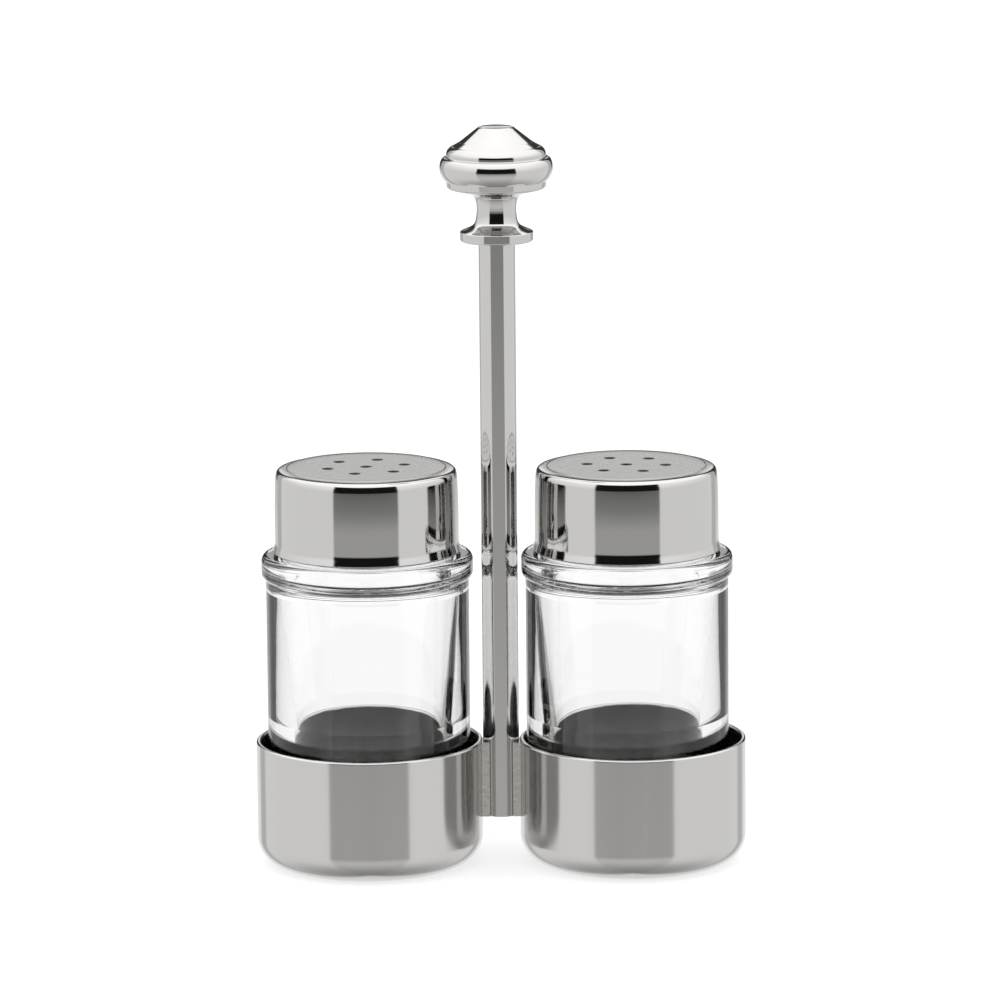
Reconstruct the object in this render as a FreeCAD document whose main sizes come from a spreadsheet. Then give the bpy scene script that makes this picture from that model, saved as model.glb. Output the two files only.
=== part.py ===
import FreeCAD
import Part
import math
import os

import Sketcher
from FreeCAD import Placement, Rotation, Vector

# A cruet stand for two glass shakers: two drawn steel cups brazed to a tube
# post with a turned knob, and in each cup a glass jar under a perforated
# screw cap.  Millimetres.  The origin is on the table, under the post's axis;
# +X runs from the left shaker to the right one, and +Z is up.

SIZES = {
    # The two cups, drawn from sheet, and the soft discs that lie in them
    "jar_play": 1.45,
    "right_jar_aside": 1.0,
    "cup_height": 25.0,
    "cup_wall": 0.9,
    "cup_corner": 5.5,
    "pad_thickness": 1.2,
    "pad_margin": 0.3,
    # The post: a tube with a plug in its foot and a threaded bush in its top
    "post_diameter": 7.2,
    "post_wall": 0.9,
    "post_bottom": 9.4,
    "post_length": 115.6,
    "post_edge": 0.25,
    "plug_length": 6.0,
    "bush_length": 12.0,
    "lead_in": 0.4,
    "press_gap": 0.02,
    # The brazed seams that join the cups to the post
    "post_gap": 0.15,
    "braze_width": 5.6,
    "braze_drop": 0.6,
    "braze_gap": 0.02,
    # The stud that holds the knob
    "stud_diameter": 4.0,
    "stud_length": 18.0,
    "stud_gap": 0.05,
    "stud_hole_spare": 1.0,
    # The knob, from its foot up
    "flange_diameter": 14.4,
    "flange_height": 1.7,
    "flange_round": 0.8,
    "waist_diameter": 7.8,
    "waist_level": 7.4,
    "neck_flare": 2.1,
    "neck_height": 3.4,
    "tier_height": 2.95,
    "tier_round": 2.0,
    "brim_diameter": 22.3,
    "brim_height": 3.3,
    "brim_stand": 1.25,
    "brim_round": 0.75,
    "brim_edge": 0.4,
    "shoulder_inset": 1.35,
    "shoulder_height": 2.35,
    "shoulder_round": 1.7,
    "dome_ledge": 0.3,
    "dome_height": 3.4,
    "crown_diameter": 6.0,
    "crown_round": 0.8,
    "crown_drop": 0.3,
    # The glass jars, outside
    "jar_diameter": 40.3,
    "jar_height": 55.85,
    "heel_round": 3.0,
    "bead_stand": 0.85,
    "bead_height": 4.8,
    "bead_round": 1.4,
    "neck_step": 3.75,
    "neck_length": 15.6,
    "rest_gap": 0.05,
    # The glass jars, inside
    "jar_floor": 6.85,
    "bowl_round": 5.0,
    "well_height": 23.85,
    "well_wall": 6.55,
    "jar_wall": 1.95,
    "shoulder_glass": 1.0,
    "arch_round": 1.2,
    "neck_wall": 2.0,
    # The caps: a steel shell over a threaded plastic liner
    "cap_wall": 0.5,
    "cap_edge": 0.8,
    "cap_shoulder": 2.8,
    "cap_lean": 0.45,
    "cap_flare": 0.25,
    "flare_height": 1.8,
    "cap_lip": 1.35,
    "cap_foot": 0.3,
    "cap_clear": 0.4,
    "liner_gap": 0.08,
    "liner_wall": 0.9,
    "liner_edge": 0.5,
    "liner_disc": 1.0,
    "liner_inset": 1.0,
    "seal_gap": 0.1,
    "thread_height": 0.55,
    "thread_gap": 0.15,
    # The holes in the caps: one in the middle and a ring of them round it
    "shaker_hole": 2.0,
    "hole_ring_diameter": 15.6,
    "ring_holes": 6,
    "left_turn": 14.5,
    "right_turn": 54.0,
}

# How many chords stand for a quarter round
COARSE_CHORDS = 1
MEDIUM_CHORDS = 2
FINE_CHORDS = 3

# How a sketch numbers the ends of an edge, the centre of a circle, and its own origin and axes
START, END, CENTRE = 1, 2, 3
ORIGIN, ACROSS_AXIS, UP_AXIS = -1, -1, -2

doc = FreeCAD.newDocument("cruet_stand")
sheet = doc.addObject("Spreadsheet::Sheet", "Sizes")
for row, (alias, number) in enumerate(SIZES.items(), start=1):
    sheet.set(f"A{row}", alias)
    sheet.set(f"B{row}", str(number))
    sheet.setAlias(f"B{row}", alias)
doc.recompute()


class Size:
    """A length from the sheet: its number, and the formula that keeps it bound to the cells."""

    def __init__(self, number, formula):
        self.number = number
        self.formula = formula

    def __add__(self, other):
        return Size(self.number + plain(other), f"({self.formula} + {text(other)})")

    def __sub__(self, other):
        return Size(self.number - plain(other), f"({self.formula} - {text(other)})")

    def __mul__(self, other):
        return Size(self.number * plain(other), f"({self.formula} * {text(other)})")

    def __truediv__(self, other):
        return Size(self.number / plain(other), f"({self.formula} / {text(other)})")

    def __neg__(self):
        return Size(-self.number, f"(0 - {self.formula})")


def plain(length):
    return length.number if isinstance(length, Size) else length


def text(length):
    return length.formula if isinstance(length, Size) else str(length)


def bind(item, field, length):
    item.setExpression(field, text(length))


# Each cell by its own name, such as size["cup_wall"]
size = {alias: Size(float(number), f"Sizes.{alias}") for alias, number in SIZES.items()}
AXIS = Size(0.0, "0")
TABLE = Size(0.0, "0")
nodes = {}


def origin_plane(body, role):
    return next(item for item in body.Origin.OriginFeatures if item.Role == role)


class Outline:
    """A closed outline on a body's XZ plane, with each corner tied to the sheet."""

    def __init__(self, body, x, z):
        self.sketch = body.newObject("Sketcher::SketchObject", f"{body.Name}_outline")
        self.sketch.AttachmentSupport = [(origin_plane(body, "XZ_Plane"), "")]
        self.sketch.MapMode = "FlatFace"
        self.corners = [(x, z)]

    def line(self, x, z):
        self.corners.append((x, z))

    def sweep(self, x, z, leaving, chords):
        """A quarter of an ellipse in a few chords, leaving "across" or "up" and arriving the other way."""
        x_from, z_from = self.corners[-1]
        for chord in range(1, chords + 1):
            angle = math.radians(90 * chord / chords)
            ahead = round(math.sin(angle), 6)
            aside = round(1 - math.cos(angle), 6)
            if leaving == "up":
                ahead, aside = aside, ahead
            self.line(x_from + (x - x_from) * ahead, z_from + (z - z_from) * aside)

    def tie(self, corner, length, kind, axis):
        """Holds one coordinate of a corner, by a distance from the origin or on the axis."""
        if length.number == 0:
            self.sketch.addConstraint(Sketcher.Constraint("PointOnObject", corner, START, axis))
            return
        distance = Sketcher.Constraint(kind, ORIGIN, START, corner, START, length.number)
        number = self.sketch.addConstraint(distance)
        self.sketch.setExpression(f"Constraints[{number}]", length.formula)

    def close(self):
        """Draws the edges from corner to corner and back to the first, and ties every corner."""
        ends = self.corners[1:] + self.corners[:1]
        for (x, z), (x_end, z_end) in zip(self.corners, ends):
            here = Vector(x.number, z.number, 0)
            there = Vector(x_end.number, z_end.number, 0)
            self.sketch.addGeometry(Part.LineSegment(here, there), False)
        edges = list(range(len(self.corners)))
        for edge, after in zip(edges, edges[1:] + edges[:1]):
            self.sketch.addConstraint(Sketcher.Constraint("Coincident", edge, END, after, START))
        for corner, (x, z) in enumerate(self.corners):
            self.tie(corner, x, "DistanceX", UP_AXIS)
            self.tie(corner, z, "DistanceY", ACROSS_AXIS)
        return self.sketch


def new_body(name):
    body = doc.addObject("PartDesign::Body", name)
    body.Label = name
    nodes[name] = body
    return body


def revolve(body, sketch):
    turned = body.newObject("PartDesign::Revolution", f"{body.Name}_turned")
    turned.Profile = sketch
    turned.ReferenceAxis = (sketch, ["V_Axis"])
    turned.Angle = 360
    doc.recompute()
    return turned


def circle_sketch(body, name, x, level, diameter):
    """A circle on a plane parallel to the table, at a height above it."""
    sketch = body.newObject("Sketcher::SketchObject", name)
    sketch.AttachmentSupport = [(origin_plane(body, "XY_Plane"), "")]
    sketch.MapMode = "FlatFace"
    bind(sketch, "AttachmentOffset.Base.z", level)
    centre = Vector(plain(x), 0, 0)
    sketch.addGeometry(Part.Circle(centre, Vector(0, 0, 1), plain(diameter) / 2), False)
    circle = 0
    sketch.addConstraint(Sketcher.Constraint("PointOnObject", circle, CENTRE, ACROSS_AXIS))
    if plain(x) == 0:
        sketch.addConstraint(Sketcher.Constraint("PointOnObject", circle, CENTRE, UP_AXIS))
    else:
        aside = Sketcher.Constraint("DistanceX", ORIGIN, START, circle, CENTRE, plain(x))
        number = sketch.addConstraint(aside)
        sketch.setExpression(f"Constraints[{number}]", x.formula)
    number = sketch.addConstraint(Sketcher.Constraint("Diameter", circle, plain(diameter)))
    sketch.setExpression(f"Constraints[{number}]", diameter.formula)
    return sketch


def pocket(body, sketch, depth, upward=False):
    """Cuts a sketch into the body, and makes sure that it cut something."""
    before = body.Shape.Volume
    cut = body.newObject("PartDesign::Pocket", f"{sketch.Name}_cut")
    cut.Profile = sketch
    cut.Type = "Length"
    bind(cut, "Length", depth)
    cut.Reversed = upward
    doc.recompute()
    if cut.Shape.Volume >= before:
        raise RuntimeError(f"{cut.Name} cuts nothing")
    return cut


def place(body, x, turn=None):
    """Moves a body that was made on the origin's axis to its own axis."""
    if turn is not None:
        body.Placement = Placement(Vector(plain(x), 0, 0), Rotation(Vector(0, 0, 1), turn.number))
        body.setExpression("Placement.Rotation.Angle", turn.formula)
    bind(body, "Placement.Base.x", x)


# Half widths, and heights above the table, that several pieces share
jar_radius = size["jar_diameter"] / 2
neck_radius = jar_radius - size["neck_step"]
neck_bore = neck_radius - size["neck_wall"]
liner_bore = neck_radius + size["thread_height"] + size["thread_gap"]
liner_radius = liner_bore + size["liner_wall"]
cap_radius = liner_radius + size["liner_gap"] + size["cap_wall"]
cup_radius = jar_radius + size["jar_play"] + size["cup_wall"]
post_radius = size["post_diameter"] / 2
post_bore = post_radius - size["post_wall"]
post_top = size["post_bottom"] + size["post_length"]
cup_centre = post_radius + size["post_gap"] + cup_radius
cup_centres = {"left": -cup_centre, "right": cup_centre}
# The left shaker stands in the middle of its cup, and the right one a little nearer the post
jar_centres = {"left": -cup_centre, "right": cup_centre - size["right_jar_aside"]}
pad_top = size["cup_wall"] + size["pad_thickness"]
jar_base = pad_top + size["rest_gap"]
bead_bottom = jar_base + size["jar_height"]
bead_top = bead_bottom + size["bead_height"]
mouth = bead_top + size["neck_length"]
liner_top = mouth + size["seal_gap"] + size["liner_disc"]
cap_bottom = bead_top + size["cap_clear"]
cap_top = liner_top + size["liner_gap"] + size["cap_wall"]


def make_cup(side):
    """A cup drawn from sheet, with one wall thickness all over."""
    wall = size["cup_wall"]
    corner = size["cup_corner"]
    rim = size["cup_height"]
    body = new_body(f"cup_{side}")
    outline = Outline(body, AXIS, TABLE)
    outline.line(cup_radius - corner, TABLE)
    outline.sweep(cup_radius, corner, "across", FINE_CHORDS)
    outline.line(cup_radius, rim)
    outline.line(cup_radius - wall, rim)
    outline.line(cup_radius - wall, corner)
    outline.sweep(cup_radius - corner, wall, "up", MEDIUM_CHORDS)
    outline.line(AXIS, wall)
    revolve(body, outline.close())
    place(body, cup_centres[side])


def make_pad(side):
    """A soft disc on the flat part of a cup's floor, for the jar to stand on."""
    pad = doc.addObject("Part::Cylinder", f"pad_{side}")
    pad.Label = f"pad_{side}"
    bind(pad, "Radius", cup_radius - size["cup_corner"] - size["pad_margin"])
    bind(pad, "Height", size["pad_thickness"])
    bind(pad, "Placement.Base.x", cup_centres[side])
    bind(pad, "Placement.Base.z", size["cup_wall"])
    nodes[pad.Label] = pad


def make_post_tube():
    edge = size["post_edge"]
    bottom = size["post_bottom"]
    body = new_body("post_tube")
    outline = Outline(body, post_bore, bottom)
    outline.line(post_radius - edge, bottom)
    outline.line(post_radius, bottom + edge)
    outline.line(post_radius, post_top)
    outline.line(post_bore, post_top)
    revolve(body, outline.close())


def make_post_plug():
    """Closes the post's foot, flush with its end."""
    radius = post_bore - size["press_gap"]
    bottom = size["post_bottom"]
    top = bottom + size["plug_length"]
    body = new_body("post_plug")
    outline = Outline(body, AXIS, bottom)
    outline.line(radius, bottom)
    outline.line(radius, top - size["lead_in"])
    outline.line(radius - size["lead_in"], top)
    outline.line(AXIS, top)
    revolve(body, outline.close())


def make_post_bush():
    """The threaded bush in the post's top, which takes the stud."""
    radius = post_bore - size["press_gap"]
    bore = size["stud_diameter"] / 2 + size["stud_gap"]
    bottom = post_top - size["bush_length"]
    body = new_body("post_bush")
    outline = Outline(body, bore, bottom)
    outline.line(radius - size["lead_in"], bottom)
    outline.line(radius, bottom + size["lead_in"])
    outline.line(radius, post_top)
    outline.line(bore, post_top)
    revolve(body, outline.close())


def make_knob_stud():
    """Half of the stud is in the bush and half in the knob."""
    radius = size["stud_diameter"] / 2
    bottom = post_top - size["stud_length"] / 2
    top = post_top + size["stud_length"] / 2
    body = new_body("knob_stud")
    outline = Outline(body, AXIS, bottom)
    outline.line(radius - size["lead_in"], bottom)
    outline.line(radius, bottom + size["lead_in"])
    outline.line(radius, top - size["lead_in"])
    outline.line(radius - size["lead_in"], top)
    outline.line(AXIS, top)
    revolve(body, outline.close())


def make_knob():
    """The knob, turned from bar: a flange, a waist, a tier, a brim, a round shoulder and a cone with a flat crown."""
    flange = size["flange_diameter"] / 2
    flange_edge = size["flange_round"]
    flange_top = post_top + size["flange_height"]
    waist = size["waist_diameter"] / 2
    waist_level = post_top + size["waist_level"]
    neck = waist + size["neck_flare"]
    neck_top = waist_level + size["neck_height"]
    brim = size["brim_diameter"] / 2
    brim_round = size["brim_round"]
    brim_edge = size["brim_edge"]
    tier = brim - size["brim_stand"]
    tier_round = size["tier_round"]
    tier_top = neck_top + size["tier_height"]
    brim_top = tier_top + size["brim_height"]
    shoulder = brim - size["shoulder_inset"]
    shoulder_round = size["shoulder_round"]
    shelf = brim_top + size["shoulder_height"]
    dome_foot = shoulder - shoulder_round
    crown = size["crown_diameter"] / 2
    top = shelf + size["dome_height"]

    body = new_body("knob")
    outline = Outline(body, AXIS, post_top)
    outline.line(flange - flange_edge, post_top)
    outline.sweep(flange, post_top + flange_edge, "across", MEDIUM_CHORDS)
    outline.line(flange, flange_top)
    # Hollow flares lead down from the waist to the flange and up to the tier
    outline.sweep(waist, waist_level, "across", FINE_CHORDS)
    outline.sweep(neck, neck_top, "up", FINE_CHORDS)
    outline.line(tier - tier_round, neck_top)
    outline.sweep(tier, neck_top + tier_round, "across", MEDIUM_CHORDS)
    outline.line(tier, tier_top)
    # The brim is a fat bead, fullest a little above its middle
    outline.line(brim - brim_edge, tier_top)
    outline.line(brim, tier_top + brim_round)
    outline.line(brim, brim_top - brim_round * 2)
    outline.line(brim - brim_edge, brim_top - brim_round)
    outline.line(shoulder + brim_edge / 2, brim_top)
    # The shoulder rounds over to a small ledge, and the cone rises from that
    outline.line(shoulder, brim_top + brim_edge)
    outline.sweep(dome_foot + size["dome_ledge"], shelf, "up", FINE_CHORDS)
    outline.line(dome_foot, shelf)
    outline.line(crown + size["crown_round"], top - size["crown_drop"])
    outline.line(crown, top)
    outline.line(AXIS, top)
    revolve(body, outline.close())

    hole = size["stud_diameter"] + size["stud_gap"] * 2
    sketch = circle_sketch(body, "stud_hole", AXIS, post_top, hole)
    pocket(body, sketch, size["stud_length"] / 2 + size["stud_hole_spare"], upward=True)


def make_braze(side):
    """The filler metal between a cup and the post, hollow where it meets each of them."""
    drop = size["cup_height"] - size["braze_drop"] - size["post_bottom"]
    block = doc.addObject("Part::Box", f"braze_block_{side}")
    bind(block, "Length", cup_centre)
    bind(block, "Width", size["braze_width"])
    bind(block, "Height", drop)
    if side == "left":
        bind(block, "Placement.Base.x", -cup_centre)
    bind(block, "Placement.Base.y", -(size["braze_width"] / 2))
    bind(block, "Placement.Base.z", size["post_bottom"])
    for name, x, radius in (("post", None, post_radius), ("cup", cup_centres[side], cup_radius)):
        shape = doc.addObject("Part::Cylinder", f"braze_{name}_{side}")
        bind(shape, "Radius", radius + size["braze_gap"])
        bind(shape, "Height", post_top)
        if x is not None:
            bind(shape, "Placement.Base.x", x)
        cut = doc.addObject("Part::Cut", f"braze_less_{name}_{side}")
        cut.Base = block
        cut.Tool = shape
        block = cut
    block.Label = f"braze_{side}"
    nodes[block.Label] = block


def make_jar(side):
    """A pressed glass jar with a heavy foot, a bead under the cap and a narrower neck."""
    heel = size["heel_round"]
    bead = jar_radius + size["bead_stand"]
    bead_round = size["bead_round"]
    ceiling = bead_top - size["shoulder_glass"]
    inside = jar_radius - size["jar_wall"]
    well = jar_radius - size["well_wall"]
    well_top = jar_base + size["well_height"]
    arch_round = size["arch_round"]
    bowl_round = size["bowl_round"]
    floor = jar_base + size["jar_floor"]

    body = new_body(f"jar_{side}")
    outline = Outline(body, AXIS, jar_base)
    outline.line(jar_radius - heel, jar_base)
    outline.sweep(jar_radius, jar_base + heel, "across", COARSE_CHORDS)
    outline.line(jar_radius, bead_bottom)
    outline.line(bead, bead_bottom + bead_round)
    outline.line(bead, bead_top - bead_round)
    outline.line(bead - bead_round, bead_top)
    outline.line(neck_radius, bead_top)
    outline.line(neck_radius, mouth)
    # Down the inside: the neck, the shoulder, the wall that thickens downward, and the well in the foot
    outline.line(neck_bore, mouth)
    outline.line(neck_bore, ceiling)
    outline.line(inside - arch_round, ceiling)
    outline.sweep(inside, ceiling - arch_round, "across", COARSE_CHORDS)
    outline.line(well, well_top)
    outline.line(well, floor + bowl_round)
    outline.sweep(well - bowl_round, floor, "up", MEDIUM_CHORDS)
    outline.line(AXIS, floor)
    revolve(body, outline.close())
    place(body, jar_centres[side])


def make_cap_liner(side):
    """The threaded plastic liner inside a cap, with a disc that seals on the jar's mouth."""
    bottom = cap_bottom + size["cap_wall"] + size["liner_gap"]
    opening = neck_bore - size["liner_inset"]
    edge = size["liner_edge"]
    # Its outside keeps to the inside of the shell, which leans in at the shoulder
    outside = liner_radius - size["cap_flare"]
    body = new_body(f"cap_liner_{side}")
    outline = Outline(body, liner_bore, bottom)
    outline.line(outside, bottom)
    outline.line(outside, cap_top - size["cap_shoulder"])
    outline.line(outside - size["cap_lean"], liner_top - edge)
    outline.line(outside - size["cap_lean"] - edge, liner_top)
    outline.line(opening, liner_top)
    outline.line(opening, liner_top - size["liner_disc"])
    outline.line(liner_bore, liner_top - size["liner_disc"])
    revolve(body, outline.close())
    place(body, jar_centres[side])


def make_cap_shell(side):
    """The steel cap: a top with a ring of holes, a soft shoulder, a flared foot, and a lip under the liner."""
    wall = size["cap_wall"]
    edge = size["cap_edge"]
    foot = size["cap_foot"]
    side_radius = cap_radius - size["cap_flare"]
    shoulder = side_radius - size["cap_lean"]
    shoulder_bottom = cap_top - size["cap_shoulder"]
    lip = cap_radius - size["cap_lip"]
    body = new_body(f"cap_shell_{side}")
    outline = Outline(body, AXIS, cap_top)
    outline.line(shoulder - edge, cap_top)
    outline.line(shoulder, cap_top - edge)
    outline.line(side_radius, shoulder_bottom)
    outline.line(side_radius, cap_bottom + size["flare_height"])
    outline.line(cap_radius, cap_bottom + foot)
    outline.line(cap_radius - foot, cap_bottom)
    # The lip, and then the inside
    outline.line(lip, cap_bottom)
    outline.line(lip, cap_bottom + wall)
    outline.line(side_radius - wall, cap_bottom + wall)
    outline.line(side_radius - wall, shoulder_bottom)
    outline.line(shoulder - wall, cap_top - edge - wall / 2)
    outline.line(shoulder - edge, cap_top - wall)
    outline.line(AXIS, cap_top - wall)
    revolve(body, outline.close())

    depth = wall * 2
    ring = size["hole_ring_diameter"] / 2
    middle = circle_sketch(body, f"middle_hole_{side}", AXIS, cap_top, size["shaker_hole"])
    pocket(body, middle, depth)
    first = circle_sketch(body, f"ring_hole_{side}", ring, cap_top, size["shaker_hole"])
    hole = pocket(body, first, depth)
    pattern = body.newObject("PartDesign::PolarPattern", f"ring_{side}")
    pattern.Originals = [hole]
    pattern.Axis = (first, ["N_Axis"])
    pattern.Angle = 360
    pattern.setExpression("Occurrences", size["ring_holes"].formula)
    body.Tip = pattern
    place(body, jar_centres[side], size[f"{side}_turn"])


make_knob()
make_knob_stud()
make_post_bush()
make_post_tube()
make_post_plug()
for side in ("left", "right"):
    make_braze(side)
    make_cup(side)
    make_pad(side)
    make_jar(side)
    make_cap_liner(side)
    make_cap_shell(side)
doc.recompute()

for item in doc.Objects:
    if "Invalid" in item.State or "Error" in item.State:
        raise RuntimeError(f"{item.Name} could not be made: {item.State}")
for name, node in nodes.items():
    if node.Shape.isNull() or not node.Shape.isValid():
        raise RuntimeError(f"{name} has no valid shape")

os.makedirs("parts", exist_ok=True)
for name, node in nodes.items():
    node.Shape.exportStep(f"parts/{name}.step")
    box = node.Shape.BoundBox
    print(f"{name}: {len(node.Shape.Solids)} solid, {node.Shape.Volume:.1f} mm3, top {box.ZMax:.2f}")
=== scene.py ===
import math

import bpy
from mathutils import Matrix, Vector
from mathutils.geometry import delaunay_2d_cdt


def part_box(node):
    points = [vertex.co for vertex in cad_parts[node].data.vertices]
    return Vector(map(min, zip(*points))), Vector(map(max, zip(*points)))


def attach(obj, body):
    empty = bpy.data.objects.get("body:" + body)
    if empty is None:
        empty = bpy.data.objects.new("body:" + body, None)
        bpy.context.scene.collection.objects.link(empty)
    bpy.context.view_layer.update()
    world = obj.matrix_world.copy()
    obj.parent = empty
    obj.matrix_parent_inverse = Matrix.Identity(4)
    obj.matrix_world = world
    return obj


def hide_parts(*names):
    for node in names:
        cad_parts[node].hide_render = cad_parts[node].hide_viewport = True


# The looks of a cruet stand for two glass shakers: spun and polished steel cups on a
# tube post with a turned knob, pressed glass jars, and perforated screw caps.
# Lengths are in millimetres until a mesh is made, and the axes are the frame's own:
# +X from the left shaker to the right one, +Z up, and the viewer towards -Y.

MM = 0.001
SIDES = ("left", "right")

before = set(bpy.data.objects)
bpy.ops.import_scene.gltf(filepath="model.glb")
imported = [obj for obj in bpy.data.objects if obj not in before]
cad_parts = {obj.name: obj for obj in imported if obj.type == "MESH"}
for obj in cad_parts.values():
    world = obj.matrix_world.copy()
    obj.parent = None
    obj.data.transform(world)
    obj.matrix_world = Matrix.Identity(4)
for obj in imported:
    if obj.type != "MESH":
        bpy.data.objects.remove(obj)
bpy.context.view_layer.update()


def corners(node):
    """A node's lowest and highest corner, in millimetres."""
    low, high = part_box(node)
    return low / MM, high / MM


def radius_of(node):
    low, high = corners(node)
    return (high.x - low.x) / 2


def axis_of(node):
    low, high = corners(node)
    return (low.x + high.x) / 2


# Sizes that the frame gives
CUP_RADIUS = radius_of("cup_left")
CUP_TOP = corners("cup_left")[1].z
POST_RADIUS = radius_of("post_tube")
POST_BOTTOM = corners("post_tube")[0].z
POST_TOP = corners("post_tube")[1].z
KNOB_TOP = corners("knob")[1].z
BRIM_RADIUS = radius_of("knob")
PAD_RADIUS = radius_of("pad_left")
PAD_BOTTOM = corners("pad_left")[0].z
PAD_TOP = corners("pad_left")[1].z
JAR_BASE = corners("jar_left")[0].z
MOUTH = corners("jar_left")[1].z
BEAD_RADIUS = radius_of("jar_left")
CAP_RADIUS = radius_of("cap_shell_left")
CAP_BOTTOM = corners("cap_shell_left")[0].z
CAP_TOP = corners("cap_shell_left")[1].z

# Sizes of the details, as on the solids
CUP_WALL = 0.9
CUP_CORNER = 5.5
CUP_RIM = 0.4
POST_WALL = 0.9
CAP_WALL = 0.5
NECK_RADIUS = 16.4
NECK_BORE = 14.4
JAR_RADIUS = 20.15
BEAD_HEIGHT = 4.8
NECK_HEIGHT = 15.6
BEAD_TOP = MOUTH - NECK_HEIGHT
JAR_INSIDE = 18.2
JAR_FLOOR = 9.0
BOWL_ROUND = 5.0
HOLE_RADIUS = 1.0
HOLE_RING = 7.8
RING_HOLES = 6
# How far round each cap is screwed, in degrees
TURNED = {"left": 14.5, "right": 54.0}

# Sizes that differ from the solids' inside the glass, or are finer
BEAD_EDGE = 1.4
CEILING = 58.8
SHOULDER_ROUND = 3.4
WELL_RADIUS = 15.0
WELL_TOP = 29.2
HOLE_EDGE = 0.2
THREAD_PITCH = 4.2333
THREAD_HEIGHT = 0.55
THREAD_HALF_WIDTH = 1.0
THREAD_TURNS = 1.6
# How far above the bead the thread starts, and the share of a turn over which it fades in and out
THREAD_START = 4.5
THREAD_FADE = 0.08

# Round the axis, a turned piece has this many facets, and so does a hole
FACETS = 180
HOLE_FACETS = 40


class Outline:
    """Half of a turned piece's section: spans that each know their direction at both ends."""

    def __init__(self, radius, height):
        self.at = Vector((radius, height))
        self.spans = []

    def add(self, end, leaving, arriving):
        self.spans.append((self.at.copy(), end.copy(), leaving.normalized(), arriving.normalized()))
        self.at = end.copy()

    def line(self, radius, height, steps=1):
        start, end = self.at.copy(), Vector((radius, height))
        along = end - start
        for step in range(1, steps + 1):
            self.add(start + along * (step / steps), along, along)

    def arc(self, radius, start, end, steps=8):
        """A circular arc whose surface faces from one angle above the horizon to another, in degrees.

        It bulges out of the piece where the angle grows and into it where the angle falls.
        """
        bulge = math.copysign(radius, end - start)

        def facing(angle):
            return Vector((math.cos(angle), math.sin(angle)))

        angles = [math.radians(start + (end - start) * step / steps) for step in range(steps + 1)]
        centre = self.at - facing(angles[0]) * bulge
        for before, after in zip(angles, angles[1:]):
            self.add(centre + facing(after) * bulge, facing(before).orthogonal(), facing(after).orthogonal())

    def arcs(self, *arcs):
        """Arcs in a row, each with the values that arc takes."""
        for values in arcs:
            self.arc(*values)

    def sweep(self, radius, height, leaving, steps=10):
        """A quarter of an ellipse, leaving "across" or "up" and arriving the other way."""
        start = self.at.copy()
        across, up = radius - start.x, height - start.y

        def point(angle):
            ahead, aside = math.sin(angle), 1 - math.cos(angle)
            if leaving == "up":
                ahead, aside = aside, ahead
            return start + Vector((across * ahead, up * aside))

        def direction(angle):
            ahead, aside = math.cos(angle), math.sin(angle)
            if leaving == "up":
                ahead, aside = aside, ahead
            return Vector((across * ahead, up * aside))

        for step in range(1, steps + 1):
            before, after = (math.pi / 2 * (step + shift) / steps for shift in (-1, 0))
            self.add(point(after), direction(before), direction(after))

    def curve(self, radius, height, leaving, arriving, steps=12):
        """A smooth curve between two given directions."""
        start, end = self.at.copy(), Vector((radius, height))
        reach = (end - start).length
        first, last = Vector(leaving).normalized() * reach, Vector(arriving).normalized() * reach

        def point(t):
            return (
                start * (2 * t**3 - 3 * t**2 + 1)
                + first * (t**3 - 2 * t**2 + t)
                + end * (3 * t**2 - 2 * t**3)
                + last * (t**3 - t**2)
            )

        def direction(t):
            return (
                start * (6 * t**2 - 6 * t)
                + first * (3 * t**2 - 4 * t + 1)
                + end * (6 * t - 6 * t**2)
                + last * (3 * t**2 - 2 * t)
            )

        for step in range(1, steps + 1):
            before, after = (step - 1) / steps, step / steps
            self.add(point(after), direction(before), direction(after))


def link(name, mesh):
    piece = bpy.data.objects.new(name, mesh)
    bpy.context.scene.collection.objects.link(piece)
    return piece


def no_relief(angle, radius, height):
    return 0.0


def surface(centre, angle, point, relief):
    """Where a point of an outline lies once it is turned about the axis at centre, in millimetres."""
    out = point.x + relief(angle, point.x, point.y)
    return Vector((centre + out * math.cos(angle), out * math.sin(angle), point.y))


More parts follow.
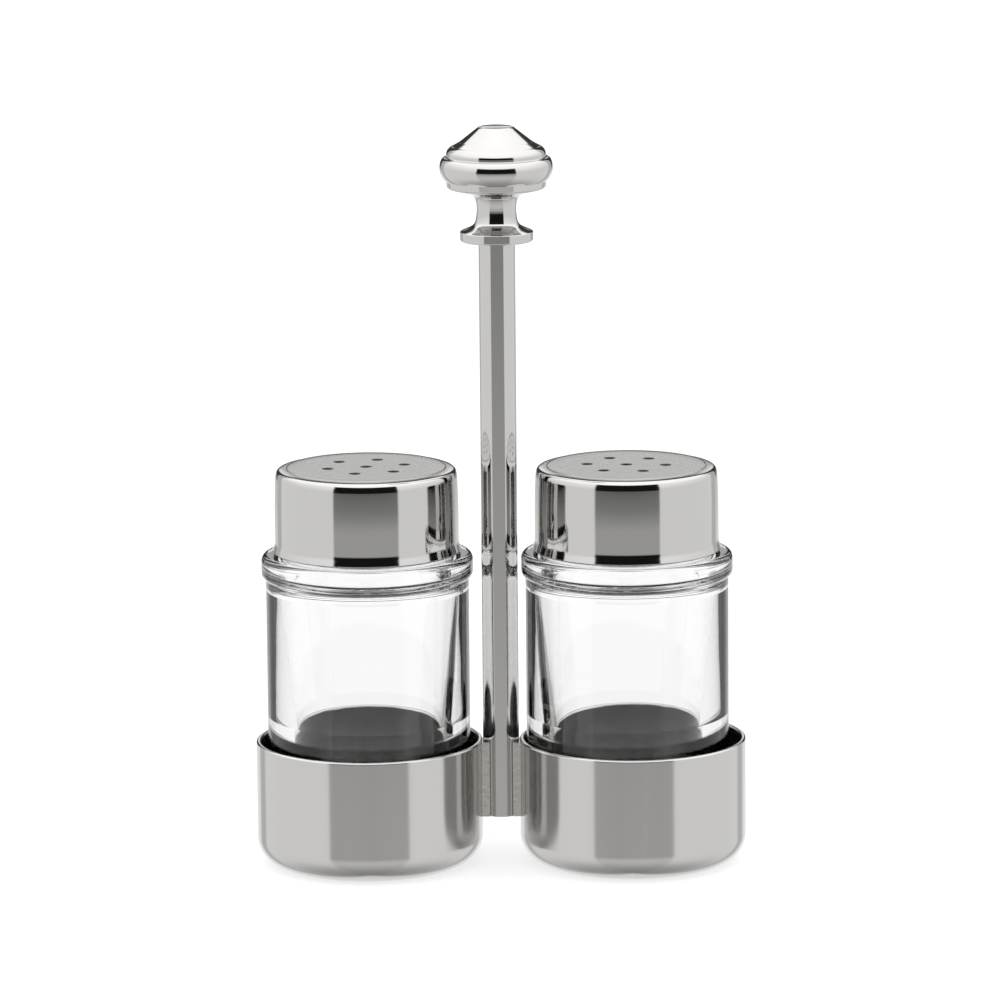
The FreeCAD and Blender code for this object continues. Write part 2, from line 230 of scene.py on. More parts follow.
def turn(name, outline, centre=0.0, relief=no_relief, facets=FACETS):
    """Turns an outline about a vertical axis. Every corner of every facet gets the true surface's normal."""
    angles = [2 * math.pi * i / facets for i in range(facets)]
    rings, verts, faces, normals = {}, [], [], []

    def ring(point):
        key = (round(point.x, 5), round(point.y, 5))
        if key not in rings:
            first = len(verts)
            if point.x < 1e-4:
                verts.append(Vector((centre, 0, point.y)) * MM)
                rings[key] = [first] * facets
            else:
                verts.extend(surface(centre, a, point, relief) * MM for a in angles)
                rings[key] = list(range(first, first + facets))
        return rings[key]

    def normal(point, direction, angle):
        # The relief's slopes, from points this far to either side
        small = 0.01
        slope_up = relief(angle, point.x, point.y + small) - relief(angle, point.x, point.y - small)
        slope_up /= 2 * small
        turned = small / max(point.x, 1.0)
        slope_round = relief(angle + turned, point.x, point.y) - relief(angle - turned, point.x, point.y)
        slope_round /= 2 * small
        out, up = direction.y, -direction.x
        facing = Vector((out, -slope_round * out, up - slope_up * out))
        return Matrix.Rotation(angle, 3, "Z") @ facing.normalized()

    for start, end, leaving, arriving in outline.spans:
        low, high = ring(start), ring(end)
        for i in range(facets):
            j = (i + 1) % facets
            here, there = angles[i], angles[i] + 2 * math.pi / facets
            loop = [
                (low[i], start, leaving, here),
                (low[j], start, leaving, there),
                (high[j], end, arriving, there),
                (high[i], end, arriving, here),
            ]
            if low[i] == low[j]:
                loop.pop(1)
            elif high[i] == high[j]:
                loop.pop(2)
            faces.append([corner[0] for corner in loop])
            normals.extend(normal(point, way, angle) for _, point, way, angle in loop)

    mesh = bpy.data.meshes.new(name)
    mesh.from_pydata(verts, [], faces)
    mesh.shade_smooth()
    mesh.normals_split_custom_set(normals)
    return link(name, mesh)


def wear(piece, material, body, node=None):
    """Gives a piece its material, unless it has its own, its body, and the solid that it stands for."""
    if material:
        piece.data.materials.clear()
        piece.data.materials.append(material)
    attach(piece, body)
    if node:
        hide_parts(node)
    return piece


# Materials


def linear(hex_colour):
    """An sRGB colour such as "c0c0c0", as the linear values that a shader takes."""
    channels = [int(hex_colour[i : i + 2], 16) / 255 for i in (0, 2, 4)]
    return [c / 12.92 if c <= 0.04045 else ((c + 0.055) / 1.055) ** 2.4 for c in channels] + [1.0]


def add(tree, kind, settings=None, links=None):
    """Adds a node with its settings and what its inputs are linked to."""
    made = tree.nodes.new(kind)
    for name, value in (settings or {}).items():
        if isinstance(name, int) or name in made.inputs.keys():
            made.inputs[name].default_value = value
        else:
            setattr(made, name, value)
    for name, source in (links or {}).items():
        tree.links.new(source, made.inputs[name])
    return made


def new_material(name):
    material = bpy.data.materials.new(name)
    material.use_nodes = True
    tree = material.node_tree
    tree.nodes.clear()
    shader = add(tree, "ShaderNodeBsdfPrincipled")
    add(tree, "ShaderNodeOutputMaterial", links={"Surface": shader.outputs["BSDF"]})
    return material, tree, shader


def scale_of(width):
    """The scale at which a texture's spots are as wide as this, in millimetres."""
    return 1 / (width * MM)


# The values between which a noise texture mostly stays
NOISE = {"From Min": 0.3, "From Max": 0.7}


def worked(tree, shader, texture, gloss=None, depth=None):
    """Lets a texture vary a surface's roughness from low to high, and raise it by millimetres."""
    if gloss:
        low, high = gloss
        rough = add(tree, "ShaderNodeMapRange", {**NOISE, "To Min": low, "To Max": high}, {"Value": texture})
        tree.links.new(rough.outputs["Result"], shader.inputs["Roughness"])
    if depth:
        settings = {"Strength": 1.0, "Distance": depth * MM}
        relief = add(tree, "ShaderNodeBump", settings, {"Height": texture})
        tree.links.new(relief.outputs["Normal"], shader.inputs["Normal"])


# All of the steel that shows is the same, and differs in how it was worked
STAINLESS = "cccbc9"


def new_metal(name, colour):
    material, tree, shader = new_material(name)
    shader.inputs["Base Color"].default_value = linear(colour)
    shader.inputs["Metallic"].default_value = 1.0
    place = add(tree, "ShaderNodeTexCoord")
    return material, tree, shader, place


def polished_stainless():
    """The knob's and the post's stainless steel, turned and buffed: a mirror with faint wiping haze."""
    material, tree, shader, place = new_metal("polished_stainless", STAINLESS)
    # Hazy patches about 12 mm across
    settings = {"Scale": scale_of(12), "Detail": 2.0}
    haze = add(tree, "ShaderNodeTexNoise", settings, {"Vector": place.outputs["Object"]})
    worked(tree, shader, haze.outputs["Fac"], gloss=(0.05, 0.10))
    return material


def brushed_top_stainless():
    """The caps' stainless steel: buffed on the wall, and brushed in circles to a satin on the flat top."""
    material, tree, shader, place = new_metal("brushed_top_stainless", STAINLESS)
    # The distance from the cap's axis, as a share of its radius
    centred = add(
        tree,
        "ShaderNodeVectorMath",
        {"operation": "SUBTRACT", 1: (0.5, 0.5, 0.0)},
        {0: place.outputs["Generated"]},
    )
    settings = {"operation": "MULTIPLY", 1: (2.0, 2.0, 0.0)}
    flat = add(tree, "ShaderNodeVectorMath", settings, {0: centred.outputs[0]})
    away = add(tree, "ShaderNodeVectorMath", {"operation": "LENGTH"}, {0: flat.outputs[0]})
    # The brushing fades out from 2.6 to 1.3 mm short of the edge
    settings = {"From Min": 0.86, "From Max": 0.93, "To Min": 0.3, "To Max": 0.07}
    settings["interpolation_type"] = "SMOOTHSTEP"
    rough = add(tree, "ShaderNodeMapRange", settings, {"Value": away.outputs["Value"]})
    # Brush marks 0.3 mm apart, as coarse as they need to be to show
    marks = add(
        tree,
        "ShaderNodeTexNoise",
        {"noise_dimensions": "1D", "Scale": CAP_RADIUS / 0.3, "Detail": 3.0},
        {"W": away.outputs["Value"]},
    )
    streaks = add(
        tree, "ShaderNodeMapRange", {**NOISE, "To Min": 0.85, "To Max": 1.15}, {"Value": marks.outputs["Fac"]}
    )
    varied = add(
        tree,
        "ShaderNodeMath",
        {"operation": "MULTIPLY"},
        {0: rough.outputs["Result"], 1: streaks.outputs["Result"]},
    )
    tree.links.new(varied.outputs[0], shader.inputs["Roughness"])
    return material


def spun_stainless():
    """The cups' stainless steel, spun over a former and buffed round and round, so it blurs up and down."""
    material, tree, shader, place = new_metal("spun_stainless", STAINLESS)
    shader.inputs["Anisotropic"].default_value = 0.8
    shader.inputs["Anisotropic Rotation"].default_value = 0.25
    # Streaks about 3 mm wide and 60 mm tall, where the buffing changed
    stretched = add(
        tree,
        "ShaderNodeMapping",
        {"Scale": (scale_of(3), scale_of(3), scale_of(60))},
        {"Vector": place.outputs["Object"]},
    )
    streaks = add(tree, "ShaderNodeTexNoise", {"Scale": 1.0, "Detail": 3.0}, {"Vector": stretched.outputs[0]})
    worked(tree, shader, streaks.outputs["Fac"], gloss=(0.13, 0.18))
    along = add(tree, "ShaderNodeTangent", {"direction_type": "RADIAL", "axis": "Z"})
    tree.links.new(along.outputs[0], shader.inputs["Tangent"])
    return material


def pressed_glass():
    """The jars' soda-lime glass, pressed in a mould: clear and colourless, and very slightly wavy."""
    material, tree, shader = new_material("pressed_glass")
    shader.inputs["Base Color"].default_value = linear("ffffff")
    shader.inputs["Roughness"].default_value = 0.0
    shader.inputs["IOR"].default_value = 1.52
    shader.inputs["Transmission Weight"].default_value = 1.0
    place = add(tree, "ShaderNodeTexCoord")
    # Waves about 9 mm across
    settings = {"Scale": scale_of(9), "Detail": 0.0}
    waves = add(tree, "ShaderNodeTexNoise", settings, {"Vector": place.outputs["Object"]})
    worked(tree, shader, waves.outputs["Fac"], depth=0.02)
    return material


def foam_rubber_and_painted_shade():
    """The pads' black foam rubber, cut from sheet: matt, with open cells. The black pad is partly a real pad
    and partly a dark sheet that paints the shade on the cup's floor.
    """
    material, tree, shader = new_material("foam_rubber_and_painted_shade")
    shader.inputs["Roughness"].default_value = 0.9
    place = add(tree, "ShaderNodeTexCoord")
    # Cells 0.4 mm across, with painted shade darkest at their middles, in the hollows of the open cells
    settings = {"feature": "F1", "Scale": scale_of(0.4)}
    cells = add(tree, "ShaderNodeTexVoronoi", settings, {"Vector": place.outputs["Object"]})
    colour = add(tree, "ShaderNodeValToRGB", links={"Fac": cells.outputs["Distance"]})
    colour.color_ramp.elements[0].color = linear("0d0d0e")
    colour.color_ramp.elements[1].color = linear("2a2a2c")
    colour.color_ramp.elements[1].position = 0.6
    tree.links.new(colour.outputs["Color"], shader.inputs["Base Color"])
    worked(tree, shader, cells.outputs["Distance"], depth=0.15)
    return material


def turned_metal(name, colour, gloss):
    """Bar as it comes off the lathe, with fine tool marks up its length."""
    material, tree, shader, place = new_metal(name, colour)
    axes = add(tree, "ShaderNodeSeparateXYZ", links={0: place.outputs["Object"]})
    # Tool marks 0.2 mm apart
    marks = add(
        tree,
        "ShaderNodeTexNoise",
        {"noise_dimensions": "1D", "Scale": scale_of(0.2), "Detail": 2.0},
        {"W": axes.outputs["Z"]},
    )
    worked(tree, shader, marks.outputs["Fac"], gloss=gloss, depth=0.015)
    return material


def uneven(name, colour, metallic, gloss, grain, depth):
    """A surface that was neither cut nor polished, with spots as wide as its grain, in millimetres."""
    material, tree, shader = new_material(name)
    shader.inputs["Base Color"].default_value = linear(colour)
    shader.inputs["Metallic"].default_value = metallic
    place = add(tree, "ShaderNodeTexCoord")
    settings = {"Scale": scale_of(grain), "Detail": 2.0}
    spots = add(tree, "ShaderNodeTexNoise", settings, {"Vector": place.outputs["Object"]})
    worked(tree, shader, spots.outputs["Fac"], gloss=gloss, depth=depth)
    return material


POLISHED_STEEL = polished_stainless()
SPUN_STEEL = spun_stainless()
CAP_STEEL = brushed_top_stainless()
GLASS = pressed_glass()
# Black foam that is also painted shade on the cups' floors
FOAM_AND_SHADE = foam_rubber_and_painted_shade()
# The stud and the plug are bright where the tool ran, and the bush is yellow and a little brighter
TURNED_STEEL = turned_metal("turned_steel", "c9c9c8", (0.22, 0.36))
TURNED_BRASS = turned_metal("turned_brass", "d8b46a", (0.18, 0.3))
# Steel as the press leaves it: grey inside the caps, and on the walls of the holes torn and darkened with
# painted shade
DRAWN_STEEL = uneven("drawn_steel", "a9a8a6", 1.0, gloss=(0.3, 0.42), grain=0.6, depth=0.01)
HOLE_WALL_STEEL_AND_SHADE = uneven("punched_steel_and_shade", "5c5b5a", 1.0, gloss=(0.4, 0.6), grain=0.2, depth=0.01)
# Silver braze that flowed and set: smooth, with shallow lumps
BRAZE = uneven("silver_braze", "cfcdc6", 1.0, gloss=(0.16, 0.26), grain=0.8, depth=0.03)
# Polypropylene from a lightly eroded mould: off-white and half matt
POLYPROPYLENE = uneven("moulded_polypropylene", "e6e6e2", 0.0, gloss=(0.35, 0.45), grain=0.3, depth=0.008)


# The stand


def make_cup(side):
    outline = Outline(0, 0)
    outline.line(CUP_RADIUS - CUP_CORNER, 0)
    outline.sweep(CUP_RADIUS, CUP_CORNER, "across", 16)
    outline.line(CUP_RADIUS, CUP_TOP - CUP_RIM)
    outline.sweep(CUP_RADIUS - CUP_RIM, CUP_TOP, "up", 6)
    outline.line(CUP_RADIUS - CUP_WALL + CUP_RIM, CUP_TOP)
    outline.sweep(CUP_RADIUS - CUP_WALL, CUP_TOP - CUP_RIM, "across", 6)
    outline.line(CUP_RADIUS - CUP_WALL, CUP_CORNER)
    outline.sweep(CUP_RADIUS - CUP_CORNER, CUP_WALL, "up", 12)
    outline.line(0, CUP_WALL)
    cup = turn(f"steel_cup_{side}", outline, axis_of(f"cup_{side}"))
    wear(cup, SPUN_STEEL, "stand", f"cup_{side}")


def make_pad(side):
    edge = 0.3
    outline = Outline(0, PAD_BOTTOM)
    outline.line(PAD_RADIUS, PAD_BOTTOM)
    outline.line(PAD_RADIUS, PAD_TOP - edge)
    outline.sweep(PAD_RADIUS - edge, PAD_TOP, "up", 4)
    outline.line(0, PAD_TOP)
    # A black disc on the cup's floor: partly a foam pad, partly painted shade for the shaded floor seen
    # through the glass
    pad = turn(f"foam_and_shade_pad_{side}", outline, axis_of(f"cup_{side}"))
    wear(pad, FOAM_AND_SHADE, "stand", f"pad_{side}")


def make_post():
    edge = 0.3
    bore = POST_RADIUS - POST_WALL
    outline = Outline(bore, POST_BOTTOM)
    outline.line(POST_RADIUS - edge, POST_BOTTOM)
    outline.sweep(POST_RADIUS, POST_BOTTOM + edge, "across", 5)
    outline.line(POST_RADIUS, POST_TOP)
    outline.line(bore, POST_TOP)
    outline.line(bore, POST_BOTTOM)
    post = turn("tube_post", outline)
    wear(post, POLISHED_STEEL, "stand", "post_tube")


def make_knob():
    """Turned from bar: a flange, a waist, a tier, a brim and a shoulder, and a cone with a worn crown."""
    foot = POST_TOP
    # Radii, from the foot up
    flange, waist, tier, shoulder, cone, crown = 7.2, 4.2, 9.85, 9.8, 7.2, 3.1
    # Heights
    flange_top, waist_foot = foot + 1.75, foot + 3.9
    tier_bottom, tier_top = foot + 10.45, foot + 12.1
    # The rounding of the edges
    flange_edge, flange_lip, tier_edge, ledge = 0.4, 0.25, 0.6, 0.2
    # The brim's underside is an arc of this radius, and starts this many degrees under the horizon
    belly, under = 4.0, 40

    outline = Outline(0, foot)
    outline.line(flange - flange_edge, foot)
    outline.arc(flange_edge, -90, 0, 6)
    outline.line(flange, flange_top)
    outline.arc(flange_lip, 0, 60, 5)
    # The waist, which is slimmest at its middle
    outline.curve(waist, waist_foot, (-0.87, 0.5), (-0.259, 0.966), 20)
    outline.arcs((9.0, 15, 0, 10), (6.0, 0, -20, 8), (2.2, -20, -78, 12))
    # The tier and the brim
    outline.line(tier - tier_edge, tier_bottom)
    outline.arc(tier_edge, -82, -1, 8)
    outline.line(tier, tier_top)
    outline.line(BRIM_RADIUS - belly * (1 - math.cos(math.radians(under))), tier_top)
    outline.arcs((belly, -under, 0, 12), (3.4, 0, 25, 10), (1.0, 25, 80, 8))
    # The shoulder behind its ledge
    outline.line(shoulder + ledge, outline.at.y + 0.05)
    outline.arc(ledge, 85, 0, 4)
    outline.line(outline.at.x, outline.at.y + 0.3)
    outline.arcs((1.5, 0, 30, 10), (1.9, 30, 73, 10))
    # The cone and its crown
    outline.line(cone, outline.at.y + 0.8)
    outline.arc(0.3, 73, 46, 4)
    outline.line(crown + 0.7, KNOB_TOP - 0.5)
    outline.arc(1.3, 46, 80, 8)
    outline.curve(0, KNOB_TOP, (-0.98, 0.17), (-1, 0), 6)
    knob = turn("turned_knob", outline)
    wear(knob, POLISHED_STEEL, "stand", "knob")


# The shakers


def ridge(angle, radius, height):
    """The thread on a jar's neck: a low round ridge that fades in and out."""
    if abs(radius - NECK_RADIUS) > 0.01:
        return 0.0
    best = 0.0
    for lap in (-1, 0, 1, 2):
        turns = angle / (2 * math.pi) + lap
        if not 0 <= turns <= THREAD_TURNS:
            continue
        fade = min(1.0, turns / THREAD_FADE, (THREAD_TURNS - turns) / THREAD_FADE)
        off = (height - BEAD_TOP - THREAD_START - turns * THREAD_PITCH) / THREAD_HALF_WIDTH
        if abs(off) < 1:
            best = max(best, THREAD_HEIGHT * fade * (0.5 + 0.5 * math.cos(math.pi * off)))
    return best


def make_jar(side):
    """Pressed glass: a heavy foot, a wall that thickens downward, a bead, and a neck with a thread."""
    heel, lip, root = 3.0, 1.0, 0.8
    # The foot's middle stands this much higher, so that the jar rests on a ring
    push_up, ring_radius = 0.6, 15.0
    # A small hollow under the bead, the edge between the neck's bore and the ceiling, and the well's draft
    hollow, arris, draft = 0.2, 0.4, 0.2
    # As many spans up the neck as the thread needs
    thread_spans = 56
    bead_bottom = BEAD_TOP - BEAD_HEIGHT
    outline = Outline(0, JAR_BASE + push_up)
    outline.curve(ring_radius, JAR_BASE, (1, 0), (1, -0.1), 8)
    outline.line(JAR_RADIUS - heel, JAR_BASE)
    outline.sweep(JAR_RADIUS, JAR_BASE + heel, "across", 12)
    outline.line(JAR_RADIUS, bead_bottom - 0.3)
    outline.sweep(JAR_RADIUS + hollow, bead_bottom, "up", 4)
    outline.sweep(BEAD_RADIUS, bead_bottom + BEAD_EDGE, "across", 10)
    outline.line(BEAD_RADIUS, BEAD_TOP - BEAD_EDGE)
    outline.sweep(BEAD_RADIUS - BEAD_EDGE, BEAD_TOP, "up", 12)
    outline.line(NECK_RADIUS + root, BEAD_TOP)
    outline.sweep(NECK_RADIUS, BEAD_TOP + root, "across", 6)
    outline.line(NECK_RADIUS, MOUTH - lip, steps=thread_spans)
    outline.sweep(NECK_RADIUS - lip, MOUTH, "up", 8)
    # Down the inside
    outline.line(NECK_BORE + lip, MOUTH)
    outline.sweep(NECK_BORE, MOUTH - lip, "across", 8)
    outline.line(NECK_BORE, CEILING + arris)
    outline.sweep(NECK_BORE + arris, CEILING, "up", 8)
    outline.sweep(JAR_INSIDE, CEILING - SHOULDER_ROUND, "across", 24)
    outline.line(WELL_RADIUS, WELL_TOP)
    outline.line(WELL_RADIUS - draft, JAR_FLOOR + BOWL_ROUND)
    outline.sweep(WELL_RADIUS - draft - BOWL_ROUND, JAR_FLOOR, "up", 24)
    outline.line(0, JAR_FLOOR)
    jar = turn(f"glass_jar_{side}", outline, axis_of(f"jar_{side}"), ridge)
    wear(jar, GLASS, f"jar_{side}", f"jar_{side}")


def hole_centres(side):
    """The holes in a cap, from its axis: one in the middle and a ring of them."""
    centres = [Vector((0, 0))]
    for i in range(RING_HOLES):
        angle = math.radians(TURNED[side]) + 2 * math.pi * i / RING_HOLES
        centres.append(Vector((math.cos(angle), math.sin(angle))) * HOLE_RING)
    return centres


def perforated_disc(name, side, radius, height, hole_radius, up):
    """A flat disc with holes, to close the open ring of a turned shell."""
    rim = [2 * math.pi * i / FACETS for i in range(FACETS)]
    points = [Vector((math.cos(a), math.sin(a))) * radius for a in rim]
    edges = [(i, (i + 1) % FACETS) for i in range(FACETS)]
    for centre in hole_centres(side):
        first = len(points)
        for i in range(HOLE_FACETS):
            a = 2 * math.pi * i / HOLE_FACETS
            points.append(centre + Vector((math.cos(a), math.sin(a))) * hole_radius)
            edges.append((first + i, first + (i + 1) % HOLE_FACETS))
    flat, _, faces, _, _, _ = delaunay_2d_cdt(points, edges, [], 0, 1e-6)
    centre_x = axis_of(f"cap_shell_{side}")
    verts = [Vector((centre_x + p.x, p.y, height)) * MM for p in flat]
    # The faces that fill the holes have their middles within them
    within = hole_radius * 0.98
    kept = []
    for face in faces:
        middle = sum((flat[i] for i in face), Vector((0, 0))) / len(face)
        if all((middle - hole).length > within for hole in hole_centres(side)):
            kept.append(list(face) if up else list(reversed(face)))
    mesh = bpy.data.meshes.new(name)
    mesh.from_pydata(verts, [], kept)
    return link(name, mesh)


def make_cap(side):
    """A drawn shell: its skirt flares at the foot, its wall leans in slightly, and its shoulder is soft."""
    centre = axis_of(f"cap_shell_{side}")
    edge, turned_in = 0.25, 1.35
    # The flare's slope in degrees, and how far in and up it goes before the wall's arc begins
    flare, flare_in, flare_up = 14, 0.22, 0.95
    shoulder = ((150.0, 0, 3, 8), (4.7, 3, 18, 10), (0.85, 18, 80, 14), (24.0, 80, 90, 8))
    rise = sum(r * (math.sin(math.radians(b)) - math.sin(math.radians(a))) for r, a, b, _ in shoulder)
    # Inside, where the ceiling ends and where the wall starts
    ceiling_radius, wall_top = CAP_RADIUS - 2.1, CAP_TOP - 2.8

    lip = CAP_RADIUS - turned_in
    floor, ceiling = CAP_BOTTOM + CAP_WALL, CAP_TOP - CAP_WALL
    outline = Outline(lip, floor)
    outline.line(lip, CAP_BOTTOM + edge)
    outline.sweep(lip + edge, CAP_BOTTOM, "up", 4)
    outline.line(CAP_RADIUS - edge, CAP_BOTTOM)
    outline.arc(edge, -90, flare, 6)
    outline.line(outline.at.x - flare_in, outline.at.y + flare_up)
    outline.arc(4.0, flare, 0, 6)
    outline.line(outline.at.x, CAP_TOP - rise)
    outline.arcs(*shoulder)
    flat = outline.at.x
    shell = turn(f"shell_wall_{side}", outline, centre)

    bore = CAP_RADIUS - edge - CAP_WALL
    inside = Outline(ceiling_radius, ceiling)
    inside.arc(0.8, 90, 20, 6)
    inside.line(bore, wall_top)
    inside.line(bore, floor)
    inside.line(lip, floor)
    lining = turn(f"shell_inside_{side}", inside, centre)

    top = perforated_disc(f"shell_top_{side}", side, flat, CAP_TOP, HOLE_RADIUS + HOLE_EDGE, True)
    under = perforated_disc(f"shell_under_{side}", side, ceiling_radius, ceiling, HOLE_RADIUS, False)
    walls = []
    for number, hole in enumerate(hole_centres(side)):
        wall = Outline(HOLE_RADIUS + HOLE_EDGE, CAP_TOP)
        wall.sweep(HOLE_RADIUS, CAP_TOP - HOLE_EDGE, "across", 4)
        wall.line(HOLE_RADIUS, ceiling)
        piece = turn(f"hole_{side}_{number}", wall, facets=HOLE_FACETS)
        piece.data.transform(Matrix.Translation(Vector((centre + hole.x, hole.y, 0)) * MM))
        # The hole walls get the dark steel that paints the shade inside the holes
        piece.data.materials.append(HOLE_WALL_STEEL_AND_SHADE)
        walls.append(piece)
    for piece in (shell, top):
        piece.data.materials.append(CAP_STEEL)
    for piece in (lining, under):
        piece.data.materials.append(DRAWN_STEEL)
    parts = [shell, lining, top, under] + walls
    with bpy.context.temp_override(active_object=shell, selected_editable_objects=parts):
        bpy.ops.object.join()
    shell.name = f"steel_cap_{side}"
    wear(shell, None, f"cap_{side}", f"cap_shell_{side}")


for side in SIDES:
    make_cup(side)
    make_pad(side)
    make_jar(side)
    make_cap(side)
make_post()
make_knob()

# The solids that are shown as they are
KEPT = {
    "knob_stud": TURNED_STEEL,
    "post_plug": TURNED_STEEL,
    "post_bush": TURNED_BRASS,
    "braze_left": BRAZE,
    "braze_right": BRAZE,
    "cap_liner_left": POLYPROPYLENE,
    "cap_liner_right": POLYPROPYLENE,
}
for node, material in KEPT.items():
    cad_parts[node].data.materials.clear()
    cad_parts[node].data.materials.append(material)


# The studio


def grey(level):
    return (level, level, level, 1.0)


def make_floor():
    # Half the floor's side, in metres
    half = 2.5
    mesh = bpy.data.meshes.new("floor")
    square = [(-half, -half, 0), (half, -half, 0), (half, half, 0), (-half, half, 0)]
    mesh.from_pydata(square, [], [(0, 1, 2, 3)])
    floor = link("floor", mesh)
    material = bpy.data.materials.new("pale_floor")
    material.use_nodes = True
    tree = material.node_tree
    tree.nodes.clear()
    ray = add(tree, "ShaderNodeLightPath")
    # The camera sees a glow that is white with the studio's light on it, and greyer in the object's shade
    lit = add(tree, "ShaderNodeBsdfDiffuse", {"Color": grey(0.35)})
    glow = add(tree, "ShaderNodeEmission", {"Color": grey(1.0), "Strength": 0.72})
    seen = add(tree, "ShaderNodeAddShader", links={0: lit.outputs[0], 1: glow.outputs[0]})
    # Glass shows white, metal shows the studio beyond the floor, and the rest is lit by pale card
    white = add(tree, "ShaderNodeEmission", {"Color": grey(1.0), "Strength": 1.0})
    card = add(tree, "ShaderNodeBsdfDiffuse", {"Color": grey(0.8)})
    through = add(tree, "ShaderNodeBsdfTransparent")
    shown = card
    for kind, shader in (("Is Glossy Ray", through), ("Is Transmission Ray", white), ("Is Camera Ray", seen)):
        links = {0: ray.outputs[kind], 1: shown.outputs[0], 2: shader.outputs[0]}
        shown = add(tree, "ShaderNodeMixShader", links=links)
    add(tree, "ShaderNodeOutputMaterial", links={"Surface": shown.outputs[0]})
    mesh.materials.append(material)


def make_world():
    world = bpy.data.worlds.new("studio")
    bpy.context.scene.world = world
    world.use_nodes = True
    tree = world.node_tree
    tree.nodes.clear()
    ray = add(tree, "ShaderNodeLightPath")
    # Each direction as degrees to either side of the viewer, and as degrees above the horizon
    place = add(tree, "ShaderNodeTexCoord")
    axes = add(tree, "ShaderNodeSeparateXYZ", links={0: place.outputs["Generated"]})
    back = add(tree, "ShaderNodeMath", {"operation": "MULTIPLY", 1: -1.0}, {0: axes.outputs["Y"]})
    links = {0: axes.outputs["X"], 1: back.outputs[0]}
    round_at = add(tree, "ShaderNodeMath", {"operation": "ARCTAN2"}, links)
    degrees = add(tree, "ShaderNodeMath", {"operation": "DEGREES"}, {0: round_at.outputs[0]})
    aside = add(tree, "ShaderNodeMath", {"operation": "ABSOLUTE"}, {0: degrees.outputs[0]})
    raised = add(tree, "ShaderNodeMath", {"operation": "ARCSINE"}, {0: axes.outputs["Z"]})
    up = add(tree, "ShaderNodeMath", {"operation": "DEGREES"}, {0: raised.outputs[0]})
    # From 0 straight down to 1 straight up
    share = add(tree, "ShaderNodeMapRange", {"From Min": -90.0, "From Max": 90.0}, {"Value": up.outputs[0]})

    def brightness(stops):
        """The brightness by the angle above the horizon. A ramp ends at 1, so it holds half of it."""
        made = add(tree, "ShaderNodeValToRGB", links={"Fac": share.outputs["Result"]})
        elements = made.color_ramp.elements
        for element, (_, bright) in zip(elements, (stops[0], stops[-1])):
            element.color = grey(bright / 2)
        for angle, bright in stops[1:-1]:
            elements.new((angle + 90) / 180).color = grey(bright / 2)
        doubled = add(tree, "ShaderNodeMath", {"operation": "MULTIPLY", 1: 2.0}, {0: made.outputs["Color"]})
        return doubled.outputs[0]

    level = brightness(AROUND)
    for start, end, soft, stops, glass_alone in CARDS:
        edges = {}
        for number, (at, before, after) in enumerate(((start, 0.0, 1.0), (end, 1.0, 0.0))):
            settings = {"From Min": at - soft, "From Max": at + soft, "To Min": before, "To Max": after}
            settings["interpolation_type"] = "SMOOTHSTEP"
            edge = add(tree, "ShaderNodeMapRange", settings, {"Value": aside.outputs[0]})
            edges[number] = edge.outputs["Result"]
        inside = add(tree, "ShaderNodeMath", {"operation": "MULTIPLY"}, edges)
        if glass_alone:
            links = {0: inside.outputs[0], 1: ray.outputs["Is Transmission Ray"]}
            inside = add(tree, "ShaderNodeMath", {"operation": "MULTIPLY"}, links)
        links = {"Value": inside.outputs[0], "To Min": level, "To Max": brightness(stops)}
        level = add(tree, "ShaderNodeMapRange", links=links).outputs["Result"]
    links = {"Value": ray.outputs["Is Camera Ray"], "To Min": level}
    strength = add(tree, "ShaderNodeMapRange", {"To Max": 1.0}, links)
    sky = add(tree, "ShaderNodeBackground", {"Color": grey(1.0)}, {"Strength": strength.outputs[0]})
    add(tree, "ShaderNodeOutputWorld", links={"Surface": sky.outputs[0]})


# Brightness by degrees above the horizon, all round
AROUND = [(-90, 0.3), (-60, 0.5), (-35, 0.88), (-20, 0.93), (0, 0.93), (10, 1.1), (35, 1.5), (90, 1.7)]
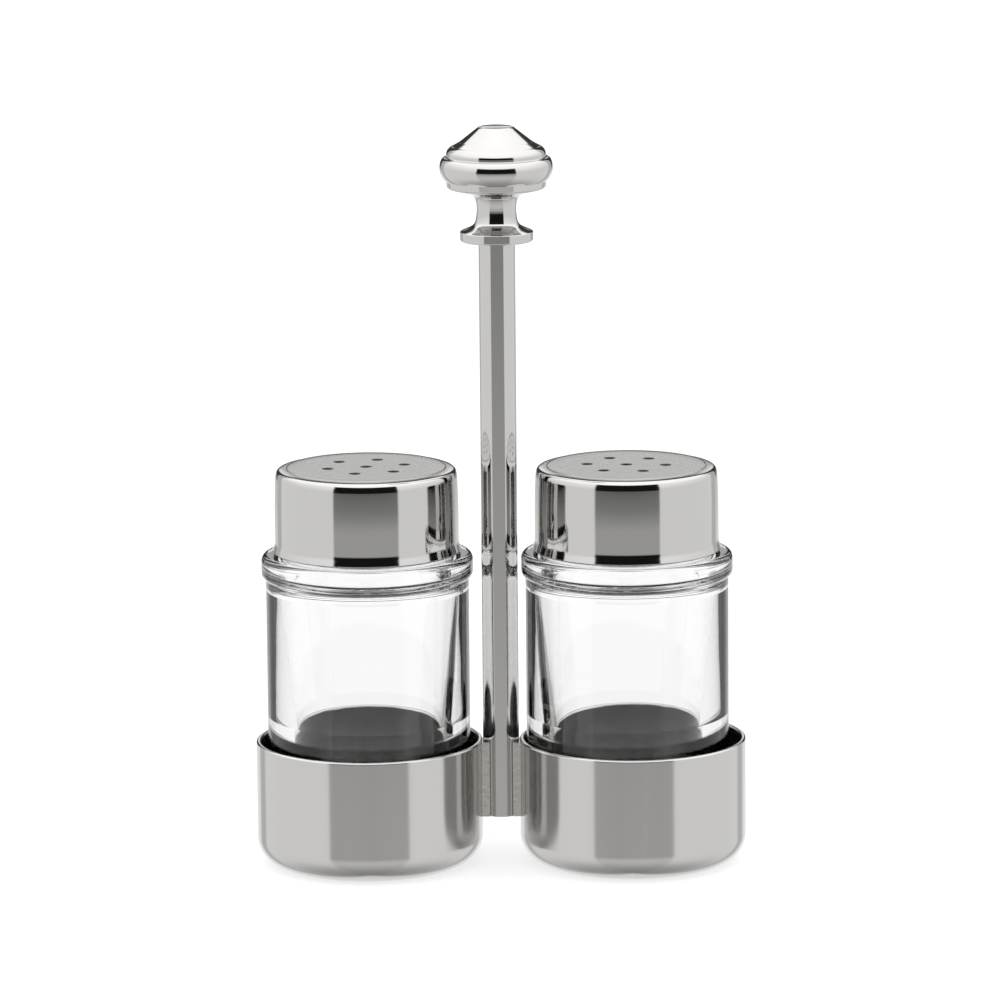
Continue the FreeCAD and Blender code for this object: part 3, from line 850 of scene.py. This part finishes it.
# The cards that stand round the object, alike to the left and right. Each has the degrees from the viewer at
# which it starts and ends, how soft its edges are, its brightness as above, and whether glass alone shows it.
CARDS = [
    # In front: grey below, a black band at the object's height, and the light above
    (-10, 41, 1.5, [
        (-90, 0.25), (-60, 0.45), (-30, 0.76), (-20, 0.65), (-13.3, 0.56), (-10.8, 0.47), (-8, 0.28),
        (-5, 0.2), (-3.5, 0.01), (24, 0.01), (29, 1.5), (90, 1.7),
    ], False),
    # The backdrop's grey edge
    (134, 150, 3, [(-90, 0.6), (20, 0.6), (35, 1.5), (90, 1.7)], False),
    # The backdrop, which darkens upward, and a lit window in its middle
    (150, 190, 2, [
        (-90, 1.0), (-14, 1.0), (-10.8, 0.78), (-8, 0.5), (-4, 0.15), (0, 0.05), (29, 0.05), (35, 1.5),
        (90, 1.7),
    ], False),
    (172, 190, 3, [
        (-90, 1.0), (-14, 1.0), (-10.8, 0.78), (-8, 0.5), (-4, 0.15), (0, 0.05), (5, 0.1), (7.8, 0.3),
        (11, 1.0), (18, 1.1), (21, 0.05), (29, 0.05), (35, 1.5), (90, 1.7),
    ], False),
    # What glass shows of the backdrop: white to above the object
    (150, 190, 2, [(-90, 1.0), (9.5, 1.0), (12.5, 0.05), (29, 0.05), (35, 1.5), (90, 1.7)], True),
]


def make_camera():
    """A long lens, 1.3 m away and a little above the caps."""
    aside, away, height = 0.2, 1300.0, 320.0
    down, roll = math.radians(10.753), math.radians(-0.5)
    camera = bpy.data.cameras.new("camera")
    camera.sensor_width = 36.0
    camera.lens = 240.5
    camera.clip_start = 0.05
    camera.clip_end = 20.0
    eye = bpy.data.objects.new("camera", camera)
    bpy.context.scene.collection.objects.link(eye)
    facing = Matrix.Rotation(math.pi / 2 - down, 4, "X") @ Matrix.Rotation(roll, 4, "Z")
    eye.matrix_world = Matrix.Translation(Vector((aside, -away, height)) * MM) @ facing
    bpy.context.scene.camera = eye


make_floor()
make_world()
make_camera()
bpy.context.scene.view_settings.view_transform = "Standard"
